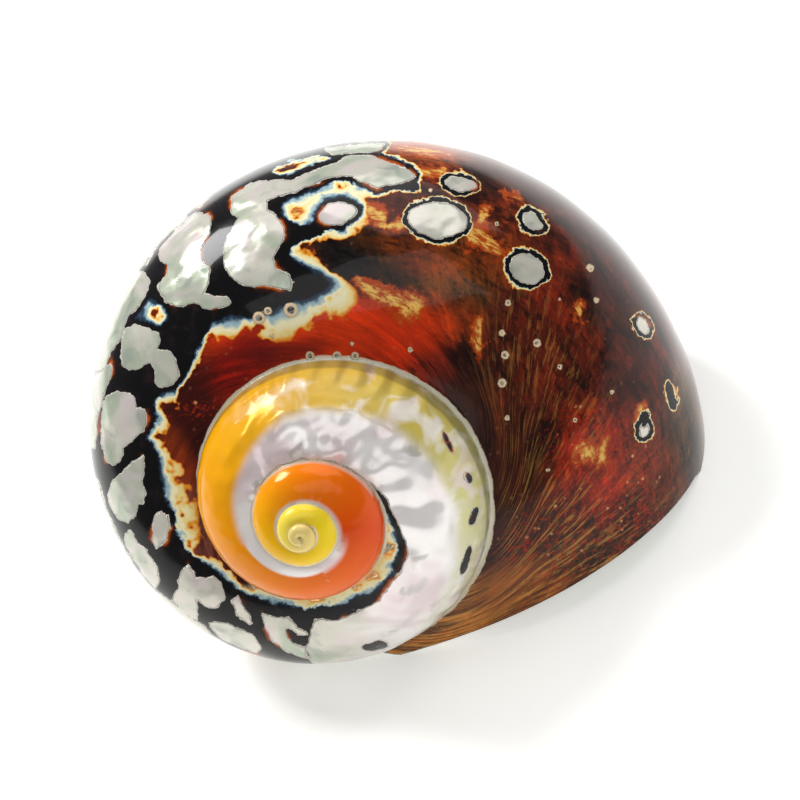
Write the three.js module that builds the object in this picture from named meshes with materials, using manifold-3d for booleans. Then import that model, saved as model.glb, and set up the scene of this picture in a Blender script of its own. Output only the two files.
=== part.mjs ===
// A polished turban shell, grown in one piece, lying on its aperture.
//
// The shell is one tube wound round an axis. Its cross-section keeps its shape and grows by a fixed
// factor each turn, and each turn overlaps the one before it. Growth is counted in turns: 0 is where
// the outer lip meets the last suture, and the apex is several turns before that. In the coil frame
// the apex is at the top of the Z axis and, seen from above, the tube winds clockwise. The finished
// shell is then turned so that it lies on its lip, with Z = 0 the surface that it rests on.
// Sizes are in millimetres. Section sizes are shares of the suture's radius at that growth.
import * as THREE from "three";
import { mergeVertices } from "three/addons/utils/BufferGeometryUtils.js";
import Module from "manifold-3d";

const wasm = await Module();
wasm.setup();

// The coil
const SUTURE_RADIUS = 25; // distance from the axis to the suture where the lip meets it
const WHORL_EXPANSION = 2.218; // how much larger everything is, one turn later
const TIP_ROUNDING = 3.36; // suture radius below which the tip of the spire flattens
const TIP_POINT = 3.4; // how far the innermost turns still rise above that
const TIP_POINT_RADIUS = 1.6; // suture radius where this has faded to about a third
const LIP_AZIMUTH = 159.5; // degrees clockwise from +Y, seen from the apex, of growth 0
const TURNS = 4;

// The tube's cross-section, with the suture at radius 1
const SECTION_RADIUS = 1.045; // distance from the axis to the section's centre
const SECTION_DEPTH = 2.276; // distance of the section's centre below the apex
const SECTION_HALF_WIDTH = 1.174;
const SECTION_RISE = 1.202;
const SECTION_DROP = 1.142;
const SECTION_POWER = 2.15; // 2 is an ellipse, and more is squarer
const SECTION_LEAN = -5.7; // degrees
const FOOT_POWER = 3; // the corner between the base and the columella is fuller
const AXIS_CLEARANCE = 0.03; // the tube comes this near to the axis, and the columella fills the rest

// Uneven growth: degrees of growth, and how much fuller the tube is there
const FULLNESS = [
  [-430, 1],
  [-360, 0.983],
  [-300, 0.992],
  [-240, 0.98],
  [-180, 0.998],
  [-130, 1.007],
  [-90, 0.995],
  [-60, 1.026],
  [20, 1.026],
];

// The cavity, a smaller section inside the first
const OUTER_WALL = 0.1;
const COLUMELLA_WALL = 0.28;
const ROOF_WALL = 0.1;
const LIP_WALL = 0.06; // the walls thin to this at the lip
const LIP_TAPER = 0.1; // over this many turns
const CAVITY_TURNS = 1.25;
const CAVITY_OVERRUN = 0.04; // turns that the cavity's cutting tube runs past the outside

// Where the tube stops: degrees round the section from its outermost point, and degrees of growth
const TUBE_END = [
  [-180, 6],
  [-150, -10],
  [-120, -44],
  [-90, -65],
  [-45, -64],
  [0, -57],
  [36, -50],
  [60, -43],
  [75, -34],
  [86, -20],
  [94, 3],
  [140, 5],
  [180, 6],
];
const END_ALLOWANCE = 0.03; // turns, trimmed away again at the lip

// The upper lip is trimmed along an upright plane, which waves a little: distances along and out
const LIP_TRIM_AZIMUTH = 153.3; // degrees
const LIP_TRIM_FALL = 7.1; // degrees
const LIP_TRIM_DISTANCE = 29.9; // from the coil's axis
const LIP_WAVE = [
  [-40, 0.3],
  [0, 0.4],
  [6, 0],
  [13, -0.7],
  [25, -0.5],
  [33, 0.7],
  [38, 0.5],
  [43, -0.6],
  [70, -0.6],
];

// The columella, a solid cone round the axis: distance below the coil's origin, and radius
const COLUMELLA = [
  [2.94, 0.07],
  [2.89, 0.15],
  [2.78, 0.23],
  [2.58, 0.35],
  [2.3, 0.5],
  [1.95, 0.65],
  [1.75, 0.72],
  [1.5, 0.72],
];

// Low knobs, worn down by polishing: rows at these degrees round the section
const KNOB_ROWS = [68, 30, -8];
const KNOBS_PER_TURN = 13;
const KNOB_HEIGHT = 0.012;
const KNOB_ROW_WIDTH = 13; // degrees

// How the shell lies: the coil frame is spun round its axis, tilted, and turned
const REST_SPIN = -17.3; // degrees
const REST_TILT = 62.5;
const REST_TURN = -17.1;
const REST_HEIGHT = 36.4; // height of the coil's origin above the surface that the shell lies on

// How finely the tube is faceted, for the outside and for the cavity
const OUTER_STEPS = 52; // a turn
const OUTER_SIDES = 32;
const CAVITY_STEPS = 32;
const CAVITY_SIDES = 20;
const COARSER_PER_TURN = 0.65; // share of the steps kept, one turn earlier
const CAP_RINGS = 2;
const CAP_BULGE = 0.03; // turns by which the end of each piece runs into the next piece
const PIECE = 0.25; // turns in one piece of tube
const FAR = 200;

const radians = THREE.MathUtils.degToRad;

function sizeAt(growth) {
  return SUTURE_RADIUS * WHORL_EXPANSION ** growth;
}

// A smooth function through rows of [x, y], level beyond the first and last rows
function through(rows) {
  const curve = new THREE.CubicInterpolant(
    rows.map(([x]) => x),
    rows.map(([, y]) => y),
    1,
  );
  return (x) => curve.evaluate(x)[0];
}

const fullness = through(FULLNESS);
const tubeEndDegrees = through(TUBE_END);
const tubeEnd = (around) => tubeEndDegrees(around) / 360;

// Height of the knobs at one place on the outside
function knobs(growth, around) {
  let height = 0;
  KNOB_ROWS.forEach((row, i) => {
    const across = Math.exp(-(((around - row) / KNOB_ROW_WIDTH) ** 2));
    const along = 0.5 + 0.5 * Math.cos(2 * Math.PI * (growth * KNOBS_PER_TURN + i / 2));
    height += KNOB_HEIGHT * across * along;
  });
  return height;
}

// The plain section at one place round it, as shares of the suture's radius: outward, and up
function section(around, footPower) {
  const angle = radians(around);
  const exponent = 2 / (around < -90 ? footPower : SECTION_POWER);
  const power = (value) => Math.sign(value) * Math.abs(value) ** exponent;
  const up = power(Math.sin(angle));
  return [SECTION_HALF_WIDTH * power(Math.cos(angle)), up * (up > 0 ? SECTION_RISE : SECTION_DROP)];
}

function outerSection(growth, around) {
  const [outward, up] = section(around, FOOT_POWER);
  const swell = fullness(growth * 360) + knobs(growth, around);
  return [outward * swell, up * swell];
}

function cavitySection(growth, around) {
  const swell = fullness(growth * 360);
  const [outward, up] = section(around, SECTION_POWER).map((share) => share * swell);
  const beforeLip = tubeEnd(around) - END_ALLOWANCE - growth;
  const thin = 1 - THREE.MathUtils.smoothstep(beforeLip, 0, LIP_TAPER);
  const outerWall = OUTER_WALL + (LIP_WALL - OUTER_WALL) * thin;
  const roofWall = ROOF_WALL + (LIP_WALL - ROOF_WALL) * thin;
  const width = 1 - (outerWall + COLUMELLA_WALL) / (2 * SECTION_HALF_WIDTH);
  const shift = (COLUMELLA_WALL - outerWall) / 2;
  return [outward * width + shift, up * (1 - roofWall / SECTION_RISE)];
}

// Depth of the section's centre below the coil's origin
function depthAt(size) {
  const rounded = SECTION_DEPTH * Math.hypot(size, TIP_ROUNDING);
  return rounded - TIP_POINT * Math.exp(-((size / TIP_POINT_RADIUS) ** 2));
}

// A place on the tube in the coil frame
function coilPoint(growth, [outward, up]) {
  const size = sizeAt(growth);
  const lean = radians(SECTION_LEAN);
  const x = outward * Math.cos(lean) - up * Math.sin(lean);
  const y = outward * Math.sin(lean) + up * Math.cos(lean);
  const radius = size * Math.max(SECTION_RADIUS + x, AXIS_CLEARANCE);
  const azimuth = radians(LIP_AZIMUTH) + 2 * Math.PI * growth;
  return new THREE.Vector3(
    radius * Math.sin(azimuth),
    radius * Math.cos(azimuth),
    size * y - depthAt(size),
  );
}

// A closed piece of tube. The growth at its far end may vary round the section.
function tube(sectionAt, start, endAt, steps, sides) {
  const points = [];
  const indices = [];
  const rings = [];
  const addRing = (growthAt, share) => {
    rings.push(points.length);
    for (let j = 0; j < sides; j += 1) {
      const around = -180 + (360 * j) / sides;
      const growth = growthAt(around);
      const [outward, up] = sectionAt(growth, around);
      points.push(coilPoint(growth, [outward * share, up * share]));
    }
  };
  const addTip = (growth) => {
    rings.push(points.length);
    points.push(coilPoint(growth, [0, 0]));
  };
  const tipStart = start - CAP_BULGE;
  const tipEnd = (endAt(-90) + endAt(0) + endAt(90) + endAt(180)) / 4 + CAP_BULGE;
  addTip(tipStart);
  for (let i = 1; i < CAP_RINGS; i += 1) {
    const share = i / CAP_RINGS;
    addRing(() => tipStart + (start - tipStart) * share, share);
  }
  for (let i = 0; i <= steps; i += 1) {
    addRing((around) => start + ((endAt(around) - start) * i) / steps, 1);
  }
  for (let i = CAP_RINGS - 1; i > 0; i -= 1) {
    const share = i / CAP_RINGS;
    addRing((around) => tipEnd + (endAt(around) - tipEnd) * share, share);
  }
  addTip(tipEnd);
  for (let i = 1; i < rings.length; i += 1) {
    const before = rings[i - 1];
    const after = rings[i];
    for (let j = 0; j < sides; j += 1) {
      const next = (j + 1) % sides;
      if (i === 1) indices.push(before, after + next, after + j);
      else if (i === rings.length - 1) indices.push(before + j, before + next, after);
      else {
        indices.push(before + j, after + next, after + j);
        indices.push(before + j, before + next, after + next);
      }
    }
  }
  const geometry = new THREE.BufferGeometry().setFromPoints(points);
  geometry.setIndex(indices);
  return geometry;
}

function toSolid(geometry) {
  const bare = geometry.clone();
  bare.deleteAttribute("normal");
  bare.deleteAttribute("uv");
  const merged = mergeVertices(bare, 1e-5);
  return new wasm.Manifold(
    new wasm.Mesh({
      numProp: 3,
      vertProperties: new Float32Array(merged.attributes.position.array),
      triVerts: new Uint32Array(merged.index.array),
    }),
  );
}

function toGeometry(solid) {
  const mesh = solid.getMesh();
  const geometry = new THREE.BufferGeometry();
  const positions = new Float32Array(mesh.vertProperties);
  geometry.setAttribute("position", new THREE.BufferAttribute(positions, 3));
  geometry.setIndex(Array.from(mesh.triVerts));
  return geometry;
}

// The largest single body, without pockets shut in between the turns
function largest(solid) {
  return solid.decompose().reduce((most, each) => (each.volume() > most.volume() ? each : most));
}

// Pieces of tube, from the apex to the lip
function tubePieces(sectionAt, turns, stepsPerTurn, sides, overrun) {
  const pieces = [];
  for (let start = -turns; start < 0; start += PIECE) {
    const end = start + PIECE;
    const isLast = end === 0;
    const steps = Math.max(3, Math.round(stepsPerTurn * PIECE * COARSER_PER_TURN ** -end));
    const endAt = isLast ? (around) => tubeEnd(around) + overrun : () => end;
    pieces.push({ start, end, solid: toSolid(tube(sectionAt, start, endAt, steps, sides)) });
  }
  return pieces;
}

const outers = tubePieces(outerSection, TURNS, OUTER_STEPS, OUTER_SIDES, 0);
const cavities = tubePieces(cavitySection, CAVITY_TURNS, CAVITY_STEPS, CAVITY_SIDES, CAVITY_OVERRUN);

// The columella runs up to the first turns
const firstTurn = sizeAt(-TURNS + 1);
const columellaOutline = COLUMELLA.map(
  ([depth, radius]) => new THREE.Vector2(radius * SUTURE_RADIUS, -depth * SUTURE_RADIUS),
);
columellaOutline.unshift(new THREE.Vector2(0, columellaOutline[0].y));
columellaOutline.push(
  new THREE.Vector2(firstTurn * 0.1, -depthAt(firstTurn)),
  new THREE.Vector2(0, -depthAt(firstTurn)),
);
const columella = new THREE.LatheGeometry(columellaOutline, 28).rotateX(Math.PI / 2);

// Everything outside the upper lip
const trimOutline = LIP_WAVE.map(([along, out]) => new THREE.Vector2(along, out));
trimOutline.push(new THREE.Vector2(FAR, FAR), new THREE.Vector2(-FAR, FAR));
const trimPlane = new THREE.Matrix4()
  .makeRotationZ(radians(-LIP_TRIM_AZIMUTH))
  .multiply(new THREE.Matrix4().makeRotationX(radians(-LIP_TRIM_FALL)))
  .multiply(new THREE.Matrix4().makeTranslation(0, LIP_TRIM_DISTANCE, -FAR / 2));
const trim = new THREE.ExtrudeGeometry(new THREE.Shape(trimOutline), {
  depth: FAR,
  bevelEnabled: false,
}).applyMatrix4(trimPlane);

const rest = new THREE.Matrix4()
  .makeRotationZ(radians(REST_TURN))
  .multiply(new THREE.Matrix4().makeRotationX(radians(REST_TILT)))
  .multiply(new THREE.Matrix4().makeRotationZ(radians(REST_SPIN)));

let body = toSolid(columella);
for (const { solid } of outers) body = body.add(solid);
body = largest(body);
for (const { start, solid } of cavities) {
  let space = solid;
  for (const earlier of outers) {
    if (earlier.end <= start - 0.5) space = space.subtract(earlier.solid);
  }
  body = body.subtract(space);
}
body = body.subtract(toSolid(trim));

const lying = toGeometry(body).applyMatrix4(rest).translate(0, 0, REST_HEIGHT);
const ground = new THREE.BoxGeometry(FAR, FAR, FAR).translate(0, 0, -FAR / 2);
const shellGeometry = toGeometry(largest(toSolid(lying).subtract(toSolid(ground))));
shellGeometry.computeBoundingBox();
const middle = shellGeometry.boundingBox.getCenter(new THREE.Vector3());
shellGeometry.translate(-middle.x, -middle.y, 0);

const shell = new THREE.Mesh(
  shellGeometry,
  new THREE.MeshStandardMaterial({ color: 0x8a4a34, roughness: 0.25, metalness: 0 }),
);
shell.name = "turban_shell";

const model = new THREE.Group();
model.add(shell);

export default model;
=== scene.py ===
import math

import bmesh
import bpy
import numpy as np
from mathutils import Matrix, Vector


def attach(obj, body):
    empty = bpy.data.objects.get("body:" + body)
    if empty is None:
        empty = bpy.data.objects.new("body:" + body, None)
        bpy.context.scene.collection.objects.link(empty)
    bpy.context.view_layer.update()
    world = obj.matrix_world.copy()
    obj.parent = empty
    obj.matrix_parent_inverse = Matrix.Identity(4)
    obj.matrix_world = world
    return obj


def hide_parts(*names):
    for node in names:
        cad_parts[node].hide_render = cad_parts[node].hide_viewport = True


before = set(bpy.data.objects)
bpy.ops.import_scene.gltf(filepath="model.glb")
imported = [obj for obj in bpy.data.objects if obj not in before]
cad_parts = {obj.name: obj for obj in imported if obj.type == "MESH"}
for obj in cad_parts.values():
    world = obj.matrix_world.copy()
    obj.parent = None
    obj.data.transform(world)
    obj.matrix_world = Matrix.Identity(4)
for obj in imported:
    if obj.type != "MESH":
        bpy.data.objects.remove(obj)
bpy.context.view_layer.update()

NODE = "turban_shell"

# The shell is one tube wound round an axis. In the coil's own frame the apex is up, the axis is Z
# and the tube winds clockwise seen from the apex. Growth is in turns, 0 where the lip meets the
# suture. Around is in degrees from the section's outermost point. Sizes are in millimetres, and the
# section's are shares of the suture's radius.
SUTURE_RADIUS = 25.0
WHORL_EXPANSION = 2.218
TIP_ROUNDING = 3.36
TIP_POINT = 3.4
TIP_POINT_RADIUS = 1.6
LIP_AZIMUTH = 159.5
TURNS = 5

SECTION_RADIUS = 1.045
SECTION_DEPTH = 2.276
SECTION_HALF_WIDTH = 1.174
SECTION_RISE = 1.202
SECTION_DROP = 1.142
SECTION_POWER = 2.15
SECTION_LEAN = -5.7
FOOT_POWER = 3.0
AXIS_CLEARANCE = 0.03

# Uneven growth: degrees of growth, and how much fuller the tube is there
FULLNESS = [
    (-430, 1), (-360, 0.983), (-300, 0.992), (-240, 0.98), (-180, 0.998),
    (-130, 1.007), (-90, 0.995), (-60, 1.026), (20, 1.026),
]

# The cavity's walls, which thin towards the lip
OUTER_WALL = 0.1
COLUMELLA_WALL = 0.28
ROOF_WALL = 0.1
LIP_WALL = 0.06
LIP_TAPER = 0.1
CAVITY_OVERRUN = 0.04
CAVITY_TURNS = 1.25

# Where the tube stops: degrees around, and degrees of growth
TUBE_END = [
    (-180, 6), (-150, -10), (-120, -44), (-90, -65), (-45, -64), (0, -57), (36, -50),
    (60, -43), (75, -34), (86, -20), (94, 3), (140, 5), (180, 6),
]
END_ALLOWANCE = 0.03

# The upper lip is trimmed along a plane that waves a little: places along it, and how far out
LIP_TRIM_AZIMUTH = 153.3
LIP_TRIM_FALL = 7.1
LIP_TRIM_DISTANCE = 29.9
LIP_WAVE = [
    (-40, 0.3), (0, 0.4), (6, 0), (13, -0.7), (25, -0.5), (33, 0.7), (38, 0.5), (43, -0.6), (70, -0.6),
]

# The columella, solid round the axis: depth and radius, as shares of the suture's radius
COLUMELLA = [
    (2.94, 0.07), (2.89, 0.15), (2.78, 0.23), (2.58, 0.35),
    (2.3, 0.5), (1.95, 0.65), (1.75, 0.72), (1.5, 0.72),
]
COLUMELLA_SIDES = 64

# Low knobs in rows at these degrees round the section, worn lower on the last turn
KNOB_ROWS = [68, 46, 24, -8]
KNOBS_PER_TURN = 26
KNOB_HEIGHT = 0.007
KNOB_ROW_WIDTH = 10
KNOB_SHARE_LATE = 0.35

# How the shell lies
REST_SPIN = -17.3
REST_TILT = 62.5
REST_TURN = -17.1
REST_HEIGHT = 36.4

# The tube is made of closed pieces with bulging ends. Pieces and bulges are in turns.
PIECE = 0.25
CAP_BULGE = 0.03
CAP_RINGS = 3
CAVITY_STEPS = 22
FAR = 200.0  # how far the cutters reach

# How far the outside may lie off its section and past growth 0, and where the pearl at the mouth
# ends: its share of the section, and turns past the lip
ON_SURFACE = 0.035
PAST_SUTURE = 0.02
GLAZE_SHARE = 1.02
GLAZE_TURNS = 0.06

# The camera, in the coil's frame: where the photograph was taken from
PICTURE_WIDTH = 800
PICTURE_MIDDLE = PICTURE_WIDTH / 2
PHOTO_SCALE = 8.396  # pixels for a millimetre at the coil's origin
DISTANCE_PIXELS = 2600
CAMERA_DISTANCE = DISTANCE_PIXELS / PHOTO_SCALE
CAMERA_TILT = 0.3645  # radians from the coil's axis
CAMERA_AZIMUTH = 3.4849
ORIGIN_PIXEL = (292.53, 552.36)

lean_x, lean_y = math.sin(CAMERA_AZIMUTH), math.cos(CAMERA_AZIMUTH)
cosine, sine = math.cos(CAMERA_TILT), math.sin(CAMERA_TILT)
towards = Vector((-lean_x * sine, -lean_y * sine, cosine))
right = Vector((lean_x**2 * cosine + lean_y**2, lean_x * lean_y * (cosine - 1), lean_x * sine))
upward = Vector((lean_x * lean_y * (cosine - 1), lean_y**2 * cosine + lean_x**2, lean_y * sine))
eye = (
    towards * CAMERA_DISTANCE
    - right * ((ORIGIN_PIXEL[0] - PICTURE_MIDDLE) / PHOTO_SCALE)
    - upward * ((PICTURE_MIDDLE - ORIGIN_PIXEL[1]) / PHOTO_SCALE)
)


def cubic(rows):
    """Smooth curve through rows of (x, y), level beyond its ends."""
    xs = np.array([r[0] for r in rows], float)
    ys = np.array([r[1] for r in rows], float)
    slopes = np.gradient(ys, xs)
    slopes[0] = slopes[-1] = 0

    def at(x):
        x = np.clip(np.asarray(x, float), xs[0], xs[-1])
        i = np.clip(np.searchsorted(xs, x) - 1, 0, len(xs) - 2)
        h = xs[i + 1] - xs[i]
        t = (x - xs[i]) / h
        return (
            (2 * t**3 - 3 * t**2 + 1) * ys[i] + (t**3 - 2 * t**2 + t) * h * slopes[i]
            + (3 * t**2 - 2 * t**3) * ys[i + 1] + (t**3 - t**2) * h * slopes[i + 1]
        )

    return at


fullness = cubic(FULLNESS)
tube_end_degrees = cubic(TUBE_END)


def tube_end(around):
    return tube_end_degrees(around) / 360


def smoothstep(x, low, high):
    t = np.clip((x - low) / (high - low), 0, 1)
    return t * t * (3 - 2 * t)


def size_at(growth):
    """The suture's radius."""
    return SUTURE_RADIUS * WHORL_EXPANSION ** np.asarray(growth, float)


def depth_at(size):
    """Depth of the section's centre below the coil's origin."""
    rounded = SECTION_DEPTH * np.hypot(size, TIP_ROUNDING)
    return rounded - TIP_POINT * np.exp(-(size / TIP_POINT_RADIUS) ** 2)


def section(around, foot_power):
    angle = np.radians(around)
    exponent = 2 / np.where(np.asarray(around) < -90, foot_power, SECTION_POWER)
    c, s = np.cos(angle), np.sin(angle)
    up = np.sign(s) * np.abs(s) ** exponent
    outward = SECTION_HALF_WIDTH * np.sign(c) * np.abs(c) ** exponent
    return outward, up * np.where(up > 0, SECTION_RISE, SECTION_DROP)


def knobs(growth, around):
    height = 0
    for i, row in enumerate(KNOB_ROWS):
        across = np.exp(-((around - row) / KNOB_ROW_WIDTH) ** 2)
        along = 0.5 + 0.5 * np.cos(2 * math.pi * (growth * KNOBS_PER_TURN + i / 2))
        height = height + KNOB_HEIGHT * across * along
    on_spire = smoothstep(-growth, 0.75, 1.05)
    return height * (KNOB_SHARE_LATE + (1 - KNOB_SHARE_LATE) * on_spire)


def outer_section(growth, around):
    outward, up = section(around, FOOT_POWER)
    swell = fullness(growth * 360) + knobs(growth, around)
    return outward * swell, up * swell


def cavity_section(growth, around):
    outward, up = section(around, SECTION_POWER)
    swell = fullness(growth * 360)
    outward, up = outward * swell, up * swell
    before_lip = tube_end(around) - END_ALLOWANCE - growth
    thin = 1 - smoothstep(before_lip, 0, LIP_TAPER)
    outer = OUTER_WALL + (LIP_WALL - OUTER_WALL) * thin
    roof = ROOF_WALL + (LIP_WALL - ROOF_WALL) * thin
    width = 1 - (outer + COLUMELLA_WALL) / (2 * SECTION_HALF_WIDTH)
    shift = (COLUMELLA_WALL - outer) / 2
    return outward * width + shift, up * (1 - roof / SECTION_RISE)


def coil_point(growth, outward, up):
    size = size_at(growth)
    lean = math.radians(SECTION_LEAN)
    x = outward * math.cos(lean) - up * math.sin(lean)
    y = outward * math.sin(lean) + up * math.cos(lean)
    radius = size * np.maximum(SECTION_RADIUS + x, AXIS_CLEARANCE)
    azimuth = math.radians(LIP_AZIMUTH) + 2 * math.pi * growth
    z = size * y - depth_at(size)
    return np.stack([radius * np.sin(azimuth), radius * np.cos(azimuth), z], -1)


def section_place(radius, z, growth):
    """Degrees round the section, and share of its size, of a place in the section's plane."""
    size = size_at(growth)
    depth = (z + depth_at(size)) / size
    across = radius / size - SECTION_RADIUS
    lean = math.radians(SECTION_LEAN)
    outward = across * math.cos(lean) + depth * math.sin(lean)
    up = -across * math.sin(lean) + depth * math.cos(lean)
    u = outward / SECTION_HALF_WIDTH
    v = up / np.where(up > 0, SECTION_RISE, SECTION_DROP)
    power = SECTION_POWER
    around = np.degrees(np.arctan2(
        np.sign(v) * np.abs(v) ** (power / 2), np.sign(u) * np.abs(u) ** (power / 2),
    ))
    share = (np.abs(u) ** power + np.abs(v) ** power) ** (1 / power) / fullness(growth * 360)
    return around, share


def tube(section_at, start, ends, steps, arounds):
    """A closed piece of tube, as points and triangles, which ends at each side's own growth."""
    sides = len(arounds)
    tip_start = start - CAP_BULGE
    tip_end = np.interp([-90, 0, 90, 180], arounds, ends).mean() + CAP_BULGE
    rings = []
    for i in range(1, CAP_RINGS):
        rings.append((tip_start + (start - tip_start) * i / CAP_RINGS + 0 * arounds, i / CAP_RINGS))
    for i in range(steps + 1):
        rings.append((start + (ends - start) * i / steps, 1.0))
    for i in range(CAP_RINGS - 1, 0, -1):
        rings.append((tip_end + (ends - tip_end) * i / CAP_RINGS, i / CAP_RINGS))
    growth = np.array([ring_growth for ring_growth, _ in rings])
    share = np.array([ring_share for _, ring_share in rings])[:, None]
    outward, up = section_at(growth, arounds[None, :] + 0 * growth)
    points = coil_point(growth, outward * share, up * share).reshape(-1, 3)
    tips = np.stack([coil_point(np.float64(tip), 0.0, 0.0) for tip in (tip_start, tip_end)])
    count = len(rings)
    index = np.arange(count * sides).reshape(count, sides)
    a, b = index[:-1], index[1:]
    next_a, next_b = np.roll(a, -1, 1), np.roll(b, -1, 1)
    triangles = [
        np.stack([a, next_b, b], -1).reshape(-1, 3),
        np.stack([a, next_a, next_b], -1).reshape(-1, 3),
        np.stack([np.full(sides, count * sides), np.roll(index[0], -1), index[0]], -1),
        np.stack([index[-1], np.roll(index[-1], -1), np.full(sides, count * sides + 1)], -1),
    ]
    return np.concatenate([points, tips]), np.concatenate(triangles)


def to_mesh(name, points, faces):
    mesh = bpy.data.meshes.new(name)
    mesh.from_pydata(points.tolist(), [], faces.tolist(), shade_flat=False)
    return mesh


def from_bmesh(name, form):
    mesh = bpy.data.meshes.new(name)
    form.to_mesh(mesh)
    form.free()
    return mesh


def vertex_points(mesh):
    points = np.empty(len(mesh.vertices) * 3, np.float32)
    mesh.vertices.foreach_get("co", points)
    return points.reshape(-1, 3).astype(float)


def add_object(name, data):
    made = bpy.data.objects.new(name, data)
    bpy.context.scene.collection.objects.link(made)
    return made


def combine(mesh, others, operation):
    """One closed mesh joined with, or cut by, several others."""
    host = add_object("host", mesh)
    tools = [add_object("tool", other) for other in others]
    for tool in tools:
        modifier = host.modifiers.new("join", "BOOLEAN")
        modifier.operation = operation
        modifier.solver = "MANIFOLD"
        modifier.object = tool
    graph = bpy.context.evaluated_depsgraph_get()
    result = bpy.data.meshes.new_from_object(host.evaluated_get(graph))
    for item in [host, *tools]:
        bpy.data.objects.remove(item)
    return result


def pieces_of(section_at, turns, steps_at, arounds_at, overrun):
    """Pieces of tube, from the apex to the lip: start, end and mesh."""
    pieces = []
    for i in range(round(turns / PIECE)):
        start = i * PIECE - turns
        end = start + PIECE
        arounds = arounds_at(end)
        ends = tube_end(arounds) + overrun if end == 0 else np.full(len(arounds), end)
        points, triangles = tube(section_at, start, ends, steps_at(end), arounds)
        pieces.append((start, end, to_mesh("piece", points, triangles)))
    return pieces


def spaced(*spans):
    """Degrees round the section, from spans of start, end and count."""
    return np.concatenate([np.linspace(*span, endpoint=False) for span in spans])


# Coarser on the side turned to the ground
AROUND_LAST = spaced((-180, -60, 26), (-60, -12, 18), (-12, 98, 104), (98, 180, 8))
AROUND_BEFORE = spaced((-180, 0, 20), (0, 100, 62), (100, 180, 6))
AROUND_FIRST = spaced((-180, 180, 48))
AROUND_CAVITY = spaced((-180, 180, 60))


def outer_arounds(end):
    return AROUND_LAST if end > -1 else AROUND_BEFORE if end > -2 else AROUND_FIRST


def outer_steps(end):
    return 100 if end > -1 else 66 if end > -2 else 30 if end > -4 else 16


def columella():
    """The cone round the axis, up to the first turns."""
    first = float(size_at(1 - TURNS))
    top = -float(depth_at(first))
    profile = [(r * SUTURE_RADIUS, -d * SUTURE_RADIUS) for d, r in COLUMELLA]
    profile = [(0, profile[0][1]), *profile, (first * 0.1, top), (0, top)]
    turn = 2 * math.pi / COLUMELLA_SIDES
    cone = bmesh.new()
    rings = []
    for r, z in profile:
        angles = [turn * i for i in range(COLUMELLA_SIDES if r else 1)]
        rings.append([cone.verts.new((r * math.cos(a), r * math.sin(a), z)) for a in angles])
    for low, high in zip(rings, rings[1:]):
        for i in range(COLUMELLA_SIDES):
            j = (i + 1) % COLUMELLA_SIDES
            if len(low) == 1:
                cone.faces.new((low[0], high[j], high[i]))
            elif len(high) == 1:
                cone.faces.new((low[i], low[j], high[0]))
            else:
                cone.faces.new((low[i], low[j], high[j]))
                cone.faces.new((low[i], high[j], high[i]))
    return from_bmesh("columella", cone)


def lip_cutter():
    """Everything outside the upper lip."""
    wave = cubic(LIP_WAVE)
    first, last = LIP_WAVE[0][0], LIP_WAVE[-1][0]
    outline = [Vector((x, float(wave(x)), 0)) for x in np.linspace(first, last, last - first + 1)]
    outline += [Vector((FAR, FAR, 0)), Vector((-FAR, FAR, 0))]
    cutter = bmesh.new()
    low = [cutter.verts.new(point) for point in outline]
    high = [cutter.verts.new(point + Vector((0, 0, FAR))) for point in outline]
    cutter.faces.new(low[::-1])
    cutter.faces.new(high)
    for i in range(len(outline)):
        j = (i + 1) % len(outline)
        cutter.faces.new((low[i], low[j], high[j], high[i]))
    bmesh.ops.triangulate(cutter, faces=cutter.faces)
    place = (
        Matrix.Rotation(math.radians(-LIP_TRIM_AZIMUTH), 4, "Z")
        @ Matrix.Rotation(math.radians(-LIP_TRIM_FALL), 4, "X")
        @ Matrix.Translation((0, LIP_TRIM_DISTANCE, -FAR / 2))
    )
    bmesh.ops.transform(cutter, matrix=place, verts=cutter.verts)
    return from_bmesh("lip_cutter", cutter)


def ground_cutter():
    """Everything below the surface that the shell lies on."""
    ground = bmesh.new()
    bmesh.ops.create_cube(ground, size=FAR)
    bmesh.ops.translate(ground, vec=(0, 0, -FAR / 2), verts=ground.verts)
    bmesh.ops.triangulate(ground, faces=ground.faces)
    return from_bmesh("ground_cutter", ground)


def keep_largest(mesh):
    """Leave the largest body alone, without pockets shut in between the turns."""
    form = bmesh.new()
    form.from_mesh(mesh)
    bmesh.ops.triangulate(form, faces=form.faces)
    left = set(form.verts)
    groups = []
    while left:
        stack = [left.pop()]
        group = set(stack)
        while stack:
            for edge in stack.pop().link_edges:
                for vert in edge.verts:
                    if vert in left:
                        left.discard(vert)
                        group.add(vert)
                        stack.append(vert)
        groups.append(group)
    groups.sort(key=len)
    for group in groups[:-1]:
        bmesh.ops.delete(form, geom=list(group), context="VERTS")
    form.to_mesh(mesh)
    form.free()


outers = pieces_of(outer_section, TURNS, outer_steps, outer_arounds, 0)
cavities = pieces_of(
    cavity_section, CAVITY_TURNS, lambda end: CAVITY_STEPS, lambda end: AROUND_CAVITY, CAVITY_OVERRUN,
)
body = combine(columella(), [mesh for _, _, mesh in outers], "UNION")
for start, _, mesh in cavities:
    turn_before = [m for s, e, m in outers if start - 1.3 < s and e <= start - 0.5]
    body = combine(body, [combine(mesh, turn_before, "DIFFERENCE")], "DIFFERENCE")
body = combine(body, [lip_cutter()], "DIFFERENCE")
REST = (
    Matrix.Rotation(math.radians(REST_TURN), 4, "Z")
    @ Matrix.Rotation(math.radians(REST_TILT), 4, "X")
    @ Matrix.Rotation(math.radians(REST_SPIN), 4, "Z")
)
body.transform(Matrix.Translation((0, 0, REST_HEIGHT)) @ REST)
body = combine(body, [ground_cutter()], "DIFFERENCE")
keep_largest(body)

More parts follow.
